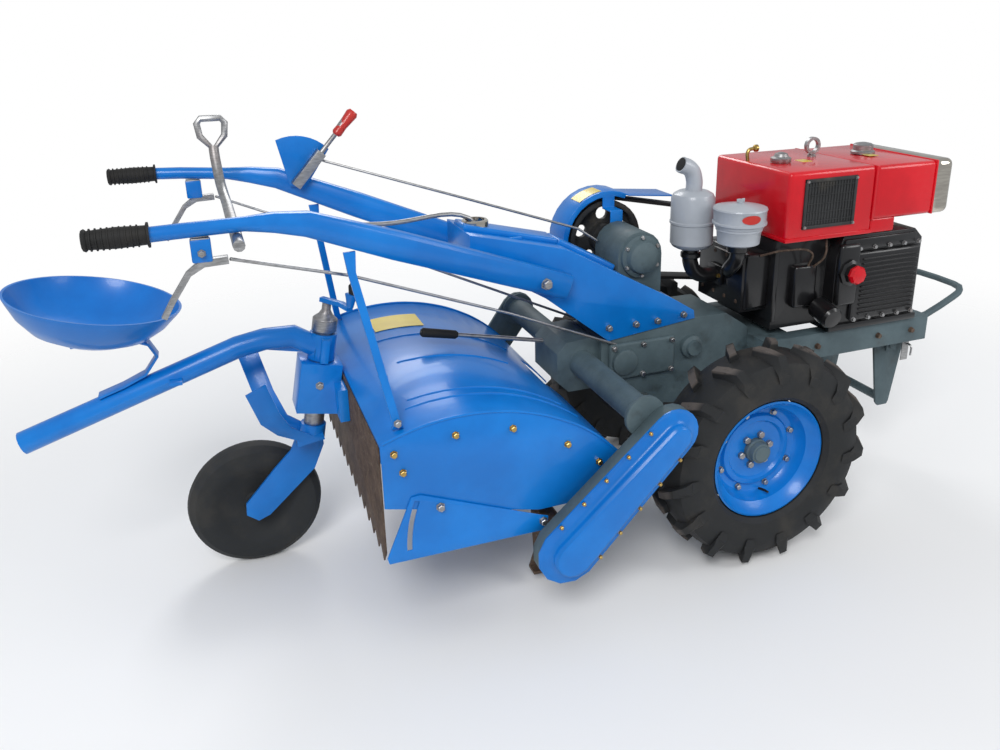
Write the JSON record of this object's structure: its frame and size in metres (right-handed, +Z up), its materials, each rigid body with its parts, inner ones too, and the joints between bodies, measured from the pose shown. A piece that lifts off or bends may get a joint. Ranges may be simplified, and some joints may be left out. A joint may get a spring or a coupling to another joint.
{
  "type": "walking tractor",
  "caption": "Two-wheeled walking tractor with a diesel engine, belt drive, rotary tiller, steerable tail wheel, long handlebars and a driver's seat.",
  "frame": {"origin": "on the ground, under the middle of the machine's bounding box", "axes": "+X forward towards the bumper, +Y the machine's left, +Z up"},
  "size_m": [2.838, 0.9894, 1.2528],
  "materials": {
    "blue_paint": "glossy enamel",
    "red_paint": "glossy enamel",
    "black_paint": "satin",
    "engine_black": "painted black",
    "grey_cast": "painted casting",
    "silver": "zinc plated",
    "chrome": "polished",
    "rubber": "matte",
    "tyre": "matte",
    "dark_steel": "worn"
  },
  "bodies": {
    "chassis": {"air_cleaner": "silver", "belt_guard": "blue_paint", "brace_left": "blue_paint", "brace_right": "blue_paint", "chain_case": "grey_cast", "chain_cover": "blue_paint", "clutch_housing": "grey_cast", "clutch_lever": "silver", "clutch_pulley": "black_paint", "clutch_rod": "silver", "cross_handle": "silver", "depth_crank": "blue_paint", "drive_belt": "rubber", "engine_block": "engine_black", "engine_flywheel": "black_paint", "engine_frame": "grey_cast", "front_bumper": "grey_cast", "fuel_tank": "red_paint", "gearbox_case": "grey_cast", "grip_left": "rubber", "grip_right": "rubber", "hand_lever_left": "silver", "hand_lever_right": "silver", "handle_base": "blue_paint", "handlebar_left": "blue_paint", "handlebar_right": "blue_paint", "lever_sector": "blue_paint", "muffler": "silver", "radiator_hood": "red_paint", "rear_comb": "dark_steel", "seat_beam": "blue_paint", "seat_pan": "blue_paint", "seat_spring": "blue_paint", "steering_rod_left": "silver", "steering_rod_right": "silver", "support_arm": "grey_cast", "tail_bracket": "blue_paint", "tail_column": "silver", "tank_end_cap": "chrome", "tiller_case": "grey_cast", "tiller_hood": "blue_paint"},
    "drive_wheel_left": {"tyre_left": "tyre", "rim_left": "blue_paint", "hub_left": "grey_cast"},
    "drive_wheel_right": {"tyre_right": "tyre", "rim_right": "blue_paint", "hub_right": "grey_cast"},
    "rotor": {"tiller_rotor": "dark_steel"},
    "tail_fork": {"tail_fork": "blue_paint"},
    "tail_wheel": {"tail_wheel": "tyre"},
    "front_stand": {"front_stand": "grey_cast"},
    "side_skirt_left": {"side_skirt_left": "blue_paint"},
    "side_skirt_right": {"side_skirt_right": "blue_paint"}
  },
  "joints": [
    {"name": "drive_wheel_left_spin", "type": "hinge", "parent": "chassis", "child": "drive_wheel_left", "pos_m": [0.43577, 0.41225, 0.32], "axis": [0, 1, 0], "continuous": true},
    {"name": "drive_wheel_right_spin", "type": "hinge", "parent": "chassis", "child": "drive_wheel_right", "pos_m": [0.43577, -0.33775, 0.32], "axis": [0, 1, 0], "continuous": true},
    {"name": "rotor_spin", "type": "hinge", "parent": "chassis", "child": "rotor", "pos_m": [-0.18423, 0.03725, 0.245], "axis": [0, 1, 0], "continuous": true},
    {"name": "tail_steering", "type": "hinge", "parent": "chassis", "child": "tail_fork", "pos_m": [-0.68223, 0.08725, 0.59], "axis": [0.1908, 0, 0.9816], "range_deg": [-30, 30]},
    {"name": "tail_wheel_spin", "type": "hinge", "parent": "tail_fork", "child": "tail_wheel", "pos_m": [-0.88623, 0.16725, 0.183], "axis": [0, 1, 0], "continuous": true},
    {"name": "front_stand_fold", "type": "hinge", "parent": "chassis", "child": "front_stand", "pos_m": [1.10077, 0.03725, 0.453], "axis": [0, 1, 0], "range_deg": [0, 85]},
    {"name": "side_skirt_left_tilt", "type": "hinge", "parent": "chassis", "child": "side_skirt_left", "pos_m": [-0.23623, 0.45955, 0.3], "axis": [0, 1, 0], "range_deg": [-12, 4]},
    {"name": "side_skirt_right_tilt", "type": "hinge", "parent": "chassis", "child": "side_skirt_right", "pos_m": [-0.23623, -0.40505, 0.3], "axis": [0, 1, 0], "range_deg": [-12, 4]}
  ]
}
